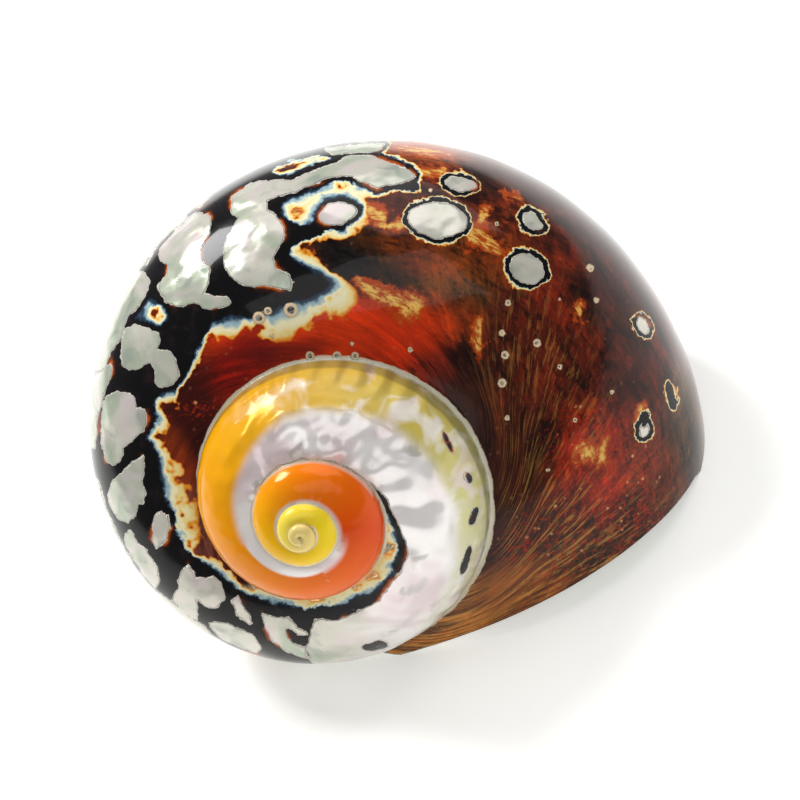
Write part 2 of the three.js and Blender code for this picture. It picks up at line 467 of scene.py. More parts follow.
points = vertex_points(body)
centre = (points.min(0) + points.max(0)) / 2
offset = np.array([-centre[0], -centre[1], 0.0])
body.transform(Matrix.Scale(0.001, 4) @ Matrix.Translation(offset))

shell = add_object("shell_surface", body)
body.shade_smooth()
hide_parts(NODE)
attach(shell, "root")


def unit(vectors):
    return vectors / np.maximum(np.linalg.norm(vectors, axis=1), 1e-12)[:, None]


# Every vertex and corner, back in the coil's frame
face_count = len(body.polygons)
corners = np.empty(face_count * 3, np.int32)
body.polygons.foreach_get("vertices", corners)
rest_turn = np.array(REST.to_3x3())
coil = (vertex_points(body) * 1000 - offset - [0, 0, REST_HEIGHT]) @ rest_turn
corner_points = coil[corners]
triangles = corner_points.reshape(-1, 3, 3)
centres = triangles.mean(1)
area_normals = np.cross(triangles[:, 1] - triangles[:, 0], triangles[:, 2] - triangles[:, 0])
face_normals = unit(area_normals)
vertex_normals = unit(np.stack([
    np.bincount(corners, np.repeat(area_normals[:, axis], 3), len(coil)) for axis in range(3)
], -1))
body.normals_split_custom_set_from_vertices(vertex_normals @ rest_turn.T)

# The turn that each face belongs to: the one whose section fits it best
azimuth = np.degrees(np.arctan2(centres[:, 0], centres[:, 1]))
part_turn = ((azimuth - LIP_AZIMUTH) / 360) % 1
radius = np.hypot(centres[:, 0], centres[:, 1])
misfit = np.full(face_count, 9.0)
face_growth = np.zeros(face_count)
for whole_turns in [*range(1, TURNS + 1), 0]:
    growth = part_turn - whole_turns
    _, share = section_place(radius, centres[:, 2], growth)
    miss = np.abs(share - 1)
    better = (miss < misfit) & (growth < PAST_SUTURE)
    misfit[better] = miss[better]
    face_growth[better] = growth[better]

# Each corner's growth, in step with its face, and degrees round the section
corner_face = np.repeat(np.arange(face_count), 3)
corner_azimuth = np.degrees(np.arctan2(corner_points[:, 0], corner_points[:, 1]))
step = (corner_azimuth - LIP_AZIMUTH) / 360 - face_growth[corner_face]
corner_growth = face_growth[corner_face] + step - np.round(step)
corner_radius = np.hypot(corner_points[:, 0], corner_points[:, 1])
corner_around, _ = section_place(corner_radius, corner_points[:, 2], corner_growth)


def inside_faces():
    """The hollow's walls, with the turn before's wall where it shows in the mouth."""
    size = size_at(face_growth)
    turn = np.radians(azimuth)
    axis_radius = size * SECTION_RADIUS
    centre_x, centre_y = axis_radius * np.sin(turn), axis_radius * np.cos(turn)
    section_centre = np.stack([centre_x, centre_y, -depth_at(size)], -1)
    outwards = ((centres - section_centre) * face_normals).sum(1) > 0
    over_around, over_share = section_place(radius, centres[:, 2], face_growth + 1)
    in_mouth = face_growth + 1 < tube_end(over_around) + GLAZE_TURNS
    return ~outwards | (misfit > ON_SURFACE) | ((over_share < GLAZE_SHARE) & in_mouth)


faces_at_vertex = np.maximum(np.bincount(corners, minlength=len(coil)), 1)
inside = (np.bincount(corners, np.repeat(inside_faces(), 3), len(coil)) / faces_at_vertex)[corners]

# Where each vertex lies in the photograph, and how far it faces the camera
facing = vertex_normals @ np.array(towards)
nearness = CAMERA_DISTANCE / (CAMERA_DISTANCE - coil @ np.array(towards))
level_x = coil @ np.array(right) * PHOTO_SCALE + ORIGIN_PIXEL[0]
level_y = ORIGIN_PIXEL[1] - coil @ np.array(upward) * PHOTO_SCALE
pixels = PICTURE_MIDDLE + (np.stack([level_x, level_y], -1) - PICTURE_MIDDLE) * nearness[:, None]


def outline_distance(outline, at):
    """Distance to a closed outline, below zero inside it."""
    ends = np.array(outline, float)
    nearest = np.full(len(at), 1e9)
    crossings = np.zeros(len(at), bool)
    for a, b in zip(ends, np.roll(ends, -1, 0)):
        edge = b - a
        along = np.clip(((at - a) @ edge) / max(edge @ edge, 1e-9), 0, 1)
        gap = at - a - along[:, None] * edge
        nearest = np.minimum(nearest, (gap * gap).sum(1))
        if a[1] != b[1]:
            between = (a[1] > at[:, 1]) != (b[1] > at[:, 1])
            crossings ^= between & (at[:, 0] < a[0] + (at[:, 1] - a[1]) * edge[0] / edge[1])
    return np.where(crossings, -1, 1) * np.sqrt(nearest)


def turned_place(x, y, turn, at):
    """Places as seen from (x, y), along and over an axis turned by some degrees."""
    angle = math.radians(turn)
    from_x, from_y = at[:, 0] - x, at[:, 1] - y
    along = from_x * math.cos(angle) - from_y * math.sin(angle)
    over = from_x * math.sin(angle) + from_y * math.cos(angle)
    return along, over


def oval_distance(x, y, half_length, half_width, turn, at):
    """Distance to an oval, nearly, and below zero inside it."""
    along, over = turned_place(x, y, turn, at)
    reach = np.maximum(np.hypot(along / half_length, over / half_width), 1e-6)
    return np.hypot(along, over) * (1 - 1 / reach)


def colour(red, green, blue):
    """Colour from screen values of 0 to 255."""
    screen = np.array([red, green, blue]) / 255
    return np.where(screen <= 0.04045, screen / 12.92, ((screen + 0.055) / 1.055) ** 2.4)


# Windows ground down to the pearl, as outlines in the photograph's pixels
WINDOWS = [
    # the long window over the top, and down the upper left
    [(232, 197), (249, 183), (276, 181), (292, 181), (309, 172), (333, 165), (347, 157), (364, 155),
     (382, 160), (394, 164), (409, 170), (415, 176), (409, 181), (400, 183), (376, 188), (360, 181),
     (343, 174), (321, 181), (300, 189), (284, 194), (266, 201), (267, 209), (276, 216), (284, 228),
     (285, 236), (276, 250), (272, 258), (276, 269), (288, 273), (293, 283), (290, 291), (276, 288),
     (258, 287), (243, 284), (233, 277), (225, 267), (224, 248), (229, 236), (240, 218), (231, 212)],
    # the second one
    [(162, 248), (172, 236), (186, 222), (198, 212), (209, 214), (211, 224), (207, 240), (199, 250),
     (202, 261), (211, 269), (208, 279), (203, 293), (213, 296), (227, 298), (230, 303), (221, 308),
     (211, 309), (194, 303), (176, 307), (166, 301), (158, 290), (160, 283), (167, 273), (167, 265),
     (159, 257)],
    # down the left edge
    [(131, 269), (141, 271), (149, 281), (147, 291), (139, 303), (128, 314), (122, 330), (116, 346),
     (104, 369), (90, 370), (92, 334), (110, 290)],
    [(126, 329), (135, 325), (149, 329), (159, 334), (158, 344), (156, 350), (170, 352), (176, 361),
     (178, 375), (172, 385), (160, 387), (154, 383), (156, 370), (150, 362), (139, 367), (129, 370),
     (122, 364), (122, 350)],
    [(107, 397), (117, 391), (129, 393), (135, 399), (136, 408), (145, 410), (147, 420), (143, 432),
     (133, 439), (123, 448), (120, 461), (113, 465), (106, 461), (102, 443), (102, 413)],
    [(80, 448), (80, 396), (97, 375), (111, 361), (112, 373), (102, 397), (97, 420), (96, 448)],
    [(108, 495), (113, 482), (123, 472), (132, 463), (143, 456), (144, 465), (140, 482), (145, 493),
     (142, 504), (137, 502), (135, 515), (127, 521), (119, 518), (111, 508)],
    [(153, 524), (160, 513), (168, 515), (171, 528), (166, 541), (157, 550), (152, 541)],
    [(129, 530), (139, 544), (147, 550), (155, 565), (160, 580), (155, 589), (143, 576), (134, 560),
     (123, 539)],
    [(188, 564), (193, 571), (194, 580), (201, 578), (214, 577), (221, 586), (223, 599), (214, 608),
     (204, 605), (195, 597), (197, 608), (196, 619), (184, 614), (171, 599), (178, 591), (182, 573)],
    [(232, 601), (238, 596), (245, 608), (253, 623), (249, 624), (238, 615)],
    [(210, 623), (223, 623), (240, 631), (253, 635), (260, 645), (258, 653), (245, 649), (227, 641),
     (214, 632)],
    [(262, 614), (275, 618), (288, 619), (301, 630), (308, 634), (299, 635), (286, 628), (287, 638),
     (303, 649), (305, 656), (286, 651), (271, 641), (266, 628)],
    # the outer edge at the upper left
    [(146, 262), (162, 238), (184, 220), (186, 208), (160, 225), (130, 262), (120, 290), (132, 280)],
    [(200, 207), (214, 192), (236, 176), (250, 172), (236, 166), (205, 180), (180, 205)],
    [(326, 150), (350, 146), (372, 143), (384, 145), (380, 150), (352, 153), (334, 154)],
    # the lower left edge
    [(80, 470), (98, 480), (106, 510), (122, 545), (140, 575), (158, 592), (176, 606), (196, 622),
     (222, 642), (250, 655), (290, 668), (290, 690), (80, 690)],
    # the bottom, below the black line round the spire
    [(311, 632), (315, 619), (336, 621), (358, 612), (382, 600), (424, 606), (440, 640), (400, 690),
     (340, 690), (316, 672), (309, 650)],
]
# The pearly band round the spire
BAND = [
    (311, 632), (315, 619), (336, 621), (358, 612), (379, 602), (384, 591), (401, 571), (409, 556),
    (405, 540), (399, 522), (388, 500), (372, 484), (352, 470), (332, 462), (300, 459), (276, 466),
    (256, 488), (248, 520), (252, 552), (268, 580), (290, 594), (262, 603), (227, 585), (190, 545),
    (180, 500), (182, 450), (205, 398), (255, 355), (300, 345), (340, 345), (395, 360), (440, 390),
    (475, 425), (500, 475), (505, 530), (495, 575), (466, 622), (420, 665), (380, 675), (340, 680),
]
# Small windows in the outer skin: place, half length, half width and turn in degrees
OVALS = [
    (337, 214, 18, 10.5, 12), (438, 220, 28, 17, -6), (461, 184, 15.5, 6.2, -8), (533, 222, 11, 6.5, -38),
    (527, 269, 17, 13, -32), (643, 325, 8, 4.6, -62), (645, 430, 7, 3.5, 70),
]
# Skin: coloured layers here, and the black layer elsewhere
SKIN = [
    # the right side, the band next to the suture and the spire
    [(384, 130), (384, 146), (372, 150), (363, 153), (374, 156), (400, 158), (420, 190), (385, 190),
     (372, 189), (356, 182), (343, 177), (321, 183), (300, 191), (279, 200), (282, 214), (290, 222),
     (302, 226), (316, 222), (328, 230), (314, 238), (300, 241), (291, 247), (288, 255), (302, 268),
     (320, 277), (328, 285), (322, 291), (300, 299), (283, 305), (262, 312), (249, 315), (223, 315),
     (211, 323), (203, 335), (196, 346), (192, 360), (183, 376), (172, 387), (160, 393), (152, 402),
     (156, 420), (146, 438), (152, 443), (157, 456), (158, 472), (161, 491), (167, 504), (173, 521),
     (180, 539), (193, 556), (210, 568), (222, 578), (236, 588), (262, 601), (296, 611), (338, 606),
     (374, 594), (390, 576), (396, 560), (399, 545), (394, 524), (382, 502), (370, 490), (356, 479),
     (336, 468), (300, 462), (300, 459), (332, 462), (352, 470), (372, 484), (388, 500), (399, 522),
     (405, 540), (409, 556), (401, 571), (384, 591), (379, 602), (358, 612), (336, 621), (315, 619),
     (311, 632), (309, 650), (316, 664), (330, 700), (800, 700), (800, 130)],
    # patches among the veins
    [(270, 173), (274, 167), (292, 159), (315, 155), (343, 157), (343, 161), (325, 167), (305, 172),
     (284, 177)],
    [(131, 315), (136, 305), (152, 298), (163, 305), (172, 320), (160, 328), (146, 325), (134, 320)],
    [(138, 304), (150, 297), (158, 304), (166, 312), (160, 322), (146, 320)],
]
# Black spots in the skin and in the windows, as ovals
BLACK_SPOTS = [
    (448, 442, 3, 12, 25), (469, 478, 3, 6, 20), (474, 516, 4, 11, -22), (466, 560, 4.5, 17, -18),
    (375, 646, 14, 5.5, 8), (671, 396, 5, 14, 12), (645, 421, 4, 9, -15),
]

# Least width in pixels of the black layer between skin and window
RIM = 5.0
HIDDEN_RIM = 4.5

# Distances where nothing is drawn, in pixels or in times a scar's radius
NO_WINDOW = 20
ALL_WINDOW = -10
ALL_SKIN = -30
NO_SPOT = 60
NO_FLAME = 40
HIDDEN_FLAME = 30
NO_SCAR = 20

# Growth where the spire ends, where it is all pearl, where it is all stained, and near the lip
SPIRE_GROWTH = -1.0
BARE_GROWTH = -1.6
TIP_GROWTH = -3.3
LIP_GROWTH = -0.12

# The drawing fades out where the surface turns away from the camera
DRAWN_FACING = -0.15
FADE_FACING = (0.02, 0.2)
FADED_WASH = 0.15  # what is left there of a wash of colour
HIDDEN_FACING = 0.35

# Windows scattered over the hidden side, larger on the older part of the turn
SCATTER_SEED = 7
SCATTER_COUNT = 150
SCATTER_SPANS = [(-1.05, -0.02), (-95, 92), (0.8, 2.6)]  # growth, degrees round, and millimetres
LARGER_BEFORE = -0.45
LARGER_TIMES = 2.2
VEIN = 0.7  # millimetres, half the width of the dark veins between windows

drawn = facing > DRAWN_FACING
shown = smoothstep(facing, *FADE_FACING)


def nearest_of(distances, elsewhere):
    """The nearest shape's distance, for every vertex that the photograph shows."""
    every = np.full(len(coil), float(elsewhere))
    every[drawn] = np.minimum.reduce(distances)
    return every


def ovals_at(ovals, at):
    return [oval_distance(*oval, at) for oval in ovals]


def scattered_windows():
    """Distance in pixels to windows scattered at random over the side turned away."""
    random = np.random.default_rng(SCATTER_SEED)
    rows = [[random.uniform(*span) for span in SCATTER_SPANS] for _ in range(SCATTER_COUNT)]
    spot_growth, spot_around, sizes = np.array(rows).T
    sizes = sizes * np.where(spot_growth < LARGER_BEFORE, LARGER_TIMES, 1)
    spots = coil_point(spot_growth, *outer_section(spot_growth, spot_around))
    hidden = facing < HIDDEN_FACING
    nearest = np.full(hidden.sum(), 1e9)
    second = nearest.copy()
    for spot, size in zip(spots, sizes):
        gap = np.linalg.norm(coil[hidden] - spot, axis=1) - size
        second = np.minimum(second, np.maximum(nearest, gap))
        nearest = np.minimum(nearest, gap)
    every = np.full(len(coil), float(NO_SPOT))
    every[hidden] = np.maximum(nearest, VEIN - (second - nearest) / 2) * PHOTO_SCALE
    return every


drawn_pixels = pixels[drawn]
window_outlines = [outline_distance(outline, drawn_pixels) for outline in WINDOWS]
skin_outlines = [outline_distance(outline, drawn_pixels) for outline in SKIN]
windows = nearest_of(window_outlines + ovals_at(OVALS, drawn_pixels), NO_WINDOW)[corners]
skin = nearest_of(skin_outlines, ALL_SKIN)[corners]
band = nearest_of([outline_distance(BAND, drawn_pixels)], NO_WINDOW)[corners]
spots = nearest_of(ovals_at(BLACK_SPOTS, drawn_pixels), NO_SPOT)[corners]

# The spire is pearl, and the lip is skin
on_spire = corner_growth < SPIRE_GROWTH
by_lip = corner_growth > LIP_GROWTH
windows = np.where(on_spire, np.minimum(windows, band), windows)
skin = np.where(on_spire, skin, np.maximum(skin, RIM - windows))
windows[corner_growth < BARE_GROWTH] = ALL_WINDOW
windows[by_lip] = NO_WINDOW
skin[by_lip] = ALL_SKIN
windows = np.maximum(windows, -spots)
skin = np.maximum(skin, -spots)
corner_shown = shown[corners]
hidden_window = scattered_windows()[corners]
window_value = windows * corner_shown + hidden_window * (1 - corner_shown)
skin_value = skin * corner_shown + (HIDDEN_RIM - hidden_window) * (1 - corner_shown)


def wash(field, x, y, half_width, half_height, turn, value, strength=1.0, edge=0.5):
    """A field with a soft oval of another value over it."""
    along, over = turned_place(x, y, turn, pixels)
    reach = np.hypot(along / half_width, over / half_height)
    amount = strength * (1 - smoothstep(reach, 1 - edge, 1 + edge))
    amount = amount * np.clip(shown + FADED_WASH, 0, 1)
    if field.ndim == 2:
        amount = amount[:, None]
    return field + (np.asarray(value) - field) * amount


def washed(start, washes):
    """The same value everywhere, under soft ovals of other values."""
    field = np.full(len(coil), float(start))
    for row in washes:
        field = wash(field, *row)
    return field


# Soft ovals: centre, half width, half height and turn, then what they say
BROWN = (84, 27, 10)
TINT_WASHES = [  # colour, strength and softness
    # the dark middle, the olive zone and the redder right
    (470, 420, 70, 190, 12, (72, 26, 12), 0.8), (410, 285, 60, 60, -40, (44, 28, 12), 0.9),
    (350, 235, 60, 28, -15, (60, 34, 12), 0.9), (462, 285, 40, 60, -30, (92, 58, 20), 0.9),
    (345, 262, 32, 18, -30, (30, 26, 24), 1.0), (430, 250, 50, 24, -20, (120, 52, 14), 0.7),
    (560, 330, 60, 90, 20, (98, 30, 14), 0.8), (620, 300, 40, 80, 32, (66, 24, 12), 0.8),
    (610, 470, 50, 60, 30, (158, 36, 8), 0.9), (660, 470, 34, 60, 20, (92, 44, 22), 0.8),
    (478, 500, 34, 120, 8, (46, 22, 18), 0.9), (500, 600, 110, 26, 27, (150, 88, 30), 0.85),
    (430, 640, 60, 14, 25, (190, 130, 60), 0.9), (610, 545, 60, 20, 33, (44, 20, 10), 0.8),
    (690, 420, 20, 60, 8, (84, 70, 48), 0.7), (430, 150, 70, 12, -6, (170, 84, 24), 0.9),
    (520, 180, 60, 30, -25, (62, 24, 12), 0.8), (500, 245, 30, 40, 30, (150, 60, 16), 0.7),
    # the red band next to the suture
    (330, 335, 120, 34, 6, (214, 56, 6), 1.0), (400, 345, 46, 34, -45, (196, 48, 8), 0.9),
    (240, 365, 50, 26, 42, (126, 18, 5), 1.0), (190, 420, 26, 50, -8, (58, 12, 6), 1.0),
    (178, 480, 18, 50, 12, (140, 52, 16), 0.9), (195, 525, 16, 44, 24, (126, 70, 58), 0.9),
    (290, 352, 40, 10, 12, (104, 18, 8), 0.7), (425, 380, 26, 30, -50, (90, 28, 16), 0.8),
    # the cream edge below the spire
    (290, 600, 90, 16, 0, (240, 226, 180), 1.0, 0.2),
]
CREAM_WASHES = [  # how wide the cream layers are
    (300, 320, 190, 70, 0, 1.0), (170, 450, 60, 140, 0, 0.75), (310, 205, 60, 40, -10, 0.85),
    (300, 600, 160, 50, 0, 1.0), (268, 316, 70, 22, -8, 2.0), (320, 290, 34, 16, -20, 2.2),
    (148, 312, 26, 22, 0, 1.6), (345, 262, 30, 16, -30, 0.3), (176, 480, 20, 70, 8, 1.3),
    (392, 172, 26, 14, 0, 0.5),
]
LINE_WASHES = [  # how strong the golden growth lines are
    (520, 590, 150, 60, 27, 1.0), (550, 430, 60, 150, 12, 0.3), (400, 645, 80, 26, 22, 0.9),
    (540, 540, 60, 60, 30, 0.8), (478, 500, 24, 90, 8, 0.0),
]
# How many pale dots and red flecks there are, and how strong the skin's patches and streaks are
SPECKLE_WASHES = [(610, 480, 50, 80, 25, 1.0), (560, 540, 60, 40, 30, 0.8), (205, 408, 22, 10, 10, 0.9)]
ROUGH_WASHES = [(330, 335, 130, 36, 6, 0.25), (190, 440, 40, 90, 0, 0.35), (475, 520, 50, 110, 10, 0.45)]

# Small round scars: place and radius
SCARS = [
    (310, 356, 4.5), (337, 356, 4.5), (355, 356, 4.0), (502, 333, 3.5), (505, 355, 4.2), (537, 343, 4.2),
    (502, 383, 4.5), (560, 367, 3.0), (507, 418, 3.0), (259, 318, 6.0), (291, 310, 7.0), (268, 311, 4.0),
    (410, 350, 3.0), (497, 224, 2.5), (272, 336, 2.4), (590, 268, 4.0), (596, 300, 3.2), (508, 303, 3.4),
    (430, 190, 2.6), (560, 300, 2.2), (352, 344, 2.4), (575, 420, 2.6), (548, 470, 2.4), (612, 392, 2.4),
]
# Cream and yellow flames in the skin, as ovals
FLAMES = [
    (302, 211, 26, 8, 14), (330, 192, 34, 6, -4), (372, 212, 20, 10, -30), (392, 226, 18, 7, 0),
    (478, 228, 8, 24, -24), (492, 246, 20, 7, -30), (430, 172, 18, 7, 0), (420, 150, 30, 5, -5),
    (478, 338, 5, 22, 0), (388, 296, 40, 10, -24), (410, 305, 16, 16, -30), (580, 312, 4, 12, 10),
    (586, 455, 14, 12, 20), (602, 452, 5, 16, -10), (640, 415, 4, 14, -14), (512, 196, 10, 4, -30),
]
# The spire, painted by its turns: growth, colour of the outer band and share of the white inner band
SPIRE = [
    (-4.0, (238, 212, 130), 0.0), (-3.7, (246, 222, 90), 0.05), (-3.2, (246, 214, 20), 0.08),
    (-2.94, (244, 200, 14), 0.03), (-2.69, (246, 178, 10), 0.03), (-2.44, (240, 124, 4), 0.05),
    (-2.19, (226, 74, 0), 0.11), (-1.94, (236, 112, 2), 0.21), (-1.69, (244, 160, 8), 0.25),
    (-1.58, (238, 168, 14), 0.34), (-1.5, (220, 164, 34), 0.5), (-1.44, (206, 166, 66), 0.58),
    (-1.3, (208, 188, 92), 0.66), (-1.19, (216, 214, 150), 0.7), (-1.08, (222, 220, 200), 0.78),
    (-1.0, (220, 220, 210), 0.9),
]

tint = np.tile(colour(*BROWN), (len(coil), 1))
for row in TINT_WASHES:
    tint = wash(tint, *row[:5], colour(*row[5]), *row[6:])
tint = tint[corners]
cream = washed(0.04, CREAM_WASHES)[corners]
lines = washed(0, LINE_WASHES)[corners]
speckle = washed(0, SPECKLE_WASHES)[corners]
rough = washed(1, ROUGH_WASHES)[corners]
scars = np.minimum.reduce([np.hypot(pixels[:, 0] - x, pixels[:, 1] - y) / size for x, y, size in SCARS])
scars = np.minimum(scars, NO_SCAR)
scars = (scars * shown + NO_SCAR * (1 - shown))[corners]
flame = np.minimum(np.minimum.reduce(ovals_at(FLAMES, pixels)), NO_FLAME)
flame = (flame * shown + HIDDEN_FLAME * (1 - shown))[corners]

# Over the spire: its own colours and pearly stain, and no lines, flames or scars
spire_growth = [row[0] for row in SPIRE]
share_across = (corner_radius / size_at(corner_growth) - 1) / (WHORL_EXPANSION - 1)
for channel in range(3):
    painted = np.interp(corner_growth, spire_growth, [colour(*row[1])[channel] for row in SPIRE])
    tint[:, channel] = np.where(on_spire, painted, tint[:, channel])
white_to = np.interp(corner_growth, spire_growth, [row[2] for row in SPIRE])
edge = np.where(corner_growth < -1.75, 0.025, 0.09)
stain = np.where(on_spire, smoothstep(share_across, white_to - edge, white_to + edge), 0.0)
stain[corner_growth < TIP_GROWTH] = 1.0
cream_band = on_spire & (corner_growth > BARE_GROWTH) & (skin_value < 0) & (window_value > 0)
tint[cream_band] = colour(240, 232, 190)
cream = np.where(on_spire, 1.0, cream)
flame = np.where(on_spire, NO_FLAME, flame)
lines = np.where(on_spire, 0.0, lines)
scars = np.where(on_spire, NO_SCAR, scars)

# What the material reads at each corner of the mesh
corner_values = {
    "window": window_value, "skin": skin_value, "cream": cream, "yellow": flame, "stain": stain,
    "rough": rough, "scars": scars, "lines": lines, "speckle": speckle, "growth": corner_growth,
    "around": corner_around / 100, "reach": corner_growth - tube_end(corner_around),
    "across": share_across, "inside": inside,
}
for name, column in corner_values.items():
    layer = body.attributes.new(name, "FLOAT", "CORNER")
    layer.data.foreach_set("value", np.ascontiguousarray(column, np.float32))
layer = body.color_attributes.new("tint", "FLOAT_COLOR", "CORNER")
layer.data.foreach_set("color", np.ascontiguousarray(np.c_[tint, np.ones(len(tint))], np.float32).ravel())

# The shell's material
material = bpy.data.materials.new("shell")
material.use_nodes = True
tree = material.node_tree
shader = tree.nodes["Principled BSDF"]


def node(kind, **settings):
    made = tree.nodes.new(kind)
    for key, setting in settings.items():
        setattr(made, key, setting)
    return made


def settle(made, settings):
    for name, setting in settings.items():
        made.inputs[name].default_value = setting


def put(socket, entry):
    if isinstance(entry, bpy.types.NodeSocket):
        tree.links.new(entry, socket)
    else:
        socket.default_value = entry


def attribute(name, output="Fac"):
    return node("ShaderNodeAttribute", attribute_name=name).outputs[output]


def filled(made, *entries):
    for socket, entry in zip(made.inputs, entries):
        put(socket, entry)
    return made.outputs[0]


def maths(operation, *entries):
    return filled(node("ShaderNodeMath", operation=operation), *entries)


def times(first, second):
    return maths("MULTIPLY", first, second)


def plus(first, second):
    return maths("ADD", first, second)


def one_minus(share):
    return maths("SUBTRACT", 1.0, share)


def ramp(entry, low, high, to_low=0.0, to_high=1.0):
    made = node("ShaderNodeMapRange", interpolation_type="SMOOTHSTEP")
    return filled(made, entry, low, high, to_low, to_high)


def mix(share, first, second, blend="MIX"):
    made = node("ShaderNodeMix", data_type="RGBA", blend_type=blend)
    put(made.inputs["Factor"], share)
    put(made.inputs["A"], first)
    put(made.inputs["B"], second)
    return made.outputs["Result"]


def rgba(red, green, blue):
    return (*[float(c) for c in colour(red, green, blue)], 1.0)


def noise(at, scale, detail=3.0, roughness=0.5, distortion=0.0):
    made = node("ShaderNodeTexNoise")
    put(made.inputs["Vector"], at)
    settle(made, {"Scale": scale, "Detail": detail, "Roughness": roughness, "Distortion": distortion})
    return made.outputs["Fac"]


def vector(x, y, z):
    return filled(node("ShaderNodeCombineXYZ"), x, y, z)


def jitter(entry, noise_value, amount):
    return plus(entry, times(maths("SUBTRACT", noise_value, 0.5), amount))


place = node("ShaderNodeTexCoord").outputs["Object"]
growth_in = attribute("growth")
around_in = attribute("around")
across_in = attribute("across")
cream_in = attribute("cream")
stain_in = attribute("stain")
rough_in = attribute("rough")
lines_in = attribute("lines")
speckle_in = attribute("speckle")
scar_in = attribute("scars")
inside_in = attribute("inside")
tint_in = attribute("tint", "Color")

# Noise in space, and noise drawn out along the lines of growth
coarse = noise(place, 160.0, 3.0)
medium = noise(place, 520.0, 4.0, 0.6)
fine = noise(place, 1700.0, 4.0, 0.65)
sheen = noise(place, 90.0, 2.0, 0.5, 1.2)
sheen_fine = noise(place, 240.0, 3.0, 0.5, 0.6)
reach = times(attribute("reach"), 60.0)
line_place = vector(reach, times(around_in, 2.0), 0.0)
growth_lines = noise(line_place, 1.6, 4.0, 0.7)
fine_lines = noise(line_place, 5.0, 5.0, 0.75)
patches = noise(vector(reach, times(around_in, 16.0), 0.0), 0.42, 5.0, 0.68, 0.6)
small_patches = noise(vector(reach, times(around_in, 26.0), 3.0), 1.5, 4.0, 0.7, 0.4)

# Ragged distances: to the nearest window, and into the skin
window = jitter(jitter(jitter(attribute("window"), medium, 9.0), coarse, 6.0), fine, 1.5)
depth = jitter(jitter(jitter(times(attribute("skin"), -1.0), medium, 12.0), fine, 6.0), coarse, 6.0)
on_window = ramp(window, 0.7, -0.3)
on_whorls = ramp(growth_in, -0.96, -1.05)


def streaked_skin():
    """The outer skin's washes of colour, with patches and streaks along the lines of growth."""
    darker = mix(1.0, tint_in, (0.16, 0.11, 0.14, 1), "MULTIPLY")
    brighter = mix(1.0, tint_in, (2.5, 1.9, 1.3, 1), "MULTIPLY")
    paint = mix(times(ramp(patches, 0.5, 0.66), rough_in), tint_in, brighter)
    paint = mix(times(ramp(small_patches, 0.56, 0.68), times(rough_in, 0.8)), paint, brighter)
    paint = mix(times(ramp(patches, 0.5, 0.36), rough_in), paint, darker)
    paint = mix(times(ramp(small_patches, 0.47, 0.38), times(rough_in, 0.7)), paint, darker)
    streak = times(ramp(growth_lines, 0.4, 0.62), ramp(rough_in, 0.0, 1.0, 0.1, 0.6))
    return mix(streak, paint, mix(1.0, paint, (0.3, 0.22, 0.25, 1), "MULTIPLY"))


def flecked(paint):
    """Golden and dark growth lines, pale dots and red flecks over the skin."""
    paint = mix(times(times(ramp(fine_lines, 0.52, 0.42), lines_in), 0.7), paint, rgba(40, 18, 8))
    paint = mix(times(times(ramp(fine_lines, 0.51, 0.62), lines_in), 0.85), paint, rgba(204, 146, 66))
    dots = node("ShaderNodeTexVoronoi")
    put(dots.inputs["Vector"], place)
    put(dots.inputs["Scale"], 620.0)
    speck = times(ramp(dots.outputs["Distance"], 0.2, 0.08), ramp(medium, 0.46, 0.56))
    paint = mix(times(speck, plus(speckle_in, 0.1)), paint, rgba(214, 150, 96))
    red_fleck = times(ramp(fine, 0.52, 0.62), speckle_in)
    return mix(times(red_fleck, 0.7), paint, rgba(176, 42, 12))


def flamed(paint):
    """Cream and yellow flames over the skin."""
    ragged = jitter(jitter(jitter(attribute("yellow"), medium, 34.0), fine, 18.0), small_patches, 22.0)
    shade = mix(ramp(ragged, 0.0, -7.0), rgba(190, 76, 12), rgba(238, 196, 96))
    shade = mix(ramp(small_patches, 0.42, 0.6), rgba(176, 66, 12), shade)
    return mix(times(ramp(ragged, 4.0, -3.0), 0.9), paint, shade)


def edged(paint):
    """The cream and pale blue layers, which show along the skin's edge."""
    uneven = ramp(noise(place, 210.0, 3.0, 0.6), 0.36, 0.62, 0.2, 1.5)
    way_in = maths("DIVIDE", depth, plus(times(cream_in, uneven), 0.08))
    layers = node("ShaderNodeValToRGB")
    layers.color_ramp.interpolation = "EASE"
    stops = [
        (0.0, (8, 8, 12)), (0.06, (40, 60, 80)), (0.13, (150, 180, 190)), (0.24, (240, 232, 190)),
        (0.42, (238, 214, 140)), (0.56, (232, 150, 40)), (0.72, (200, 70, 10)),
    ]
    elements = layers.color_ramp.elements
    while len(elements) < len(stops):
        elements.new(0.5)
    for element, (position, shade) in zip(elements, stops):
        element.position = position
        element.color = rgba(*shade)
    put(layers.inputs["Fac"], maths("DIVIDE", way_in, 26.0))
    return mix(ramp(way_in, 14.0, 20.0), layers.outputs["Color"], paint)


def blackened(paint):
    """The black layer beside the skin, its red fringe, and the white line round each window."""
    dark = mix(ramp(medium, 0.5, 0.75), rgba(9, 8, 10), rgba(30, 20, 22))
    paint = mix(ramp(depth, -0.6, 0.6), dark, paint)
    fringe = times(ramp(coarse, 0.55, 0.64), ramp(window, 8.0, 2.0))
    fringe_colour = mix(ramp(window, 4.5, 1.5), rgba(64, 14, 4), rgba(196, 92, 14))
    paint = mix(times(fringe, 0.8), paint, fringe_colour)
    return mix(ramp(window, 1.4, 0.5), paint, rgba(238, 230, 218))


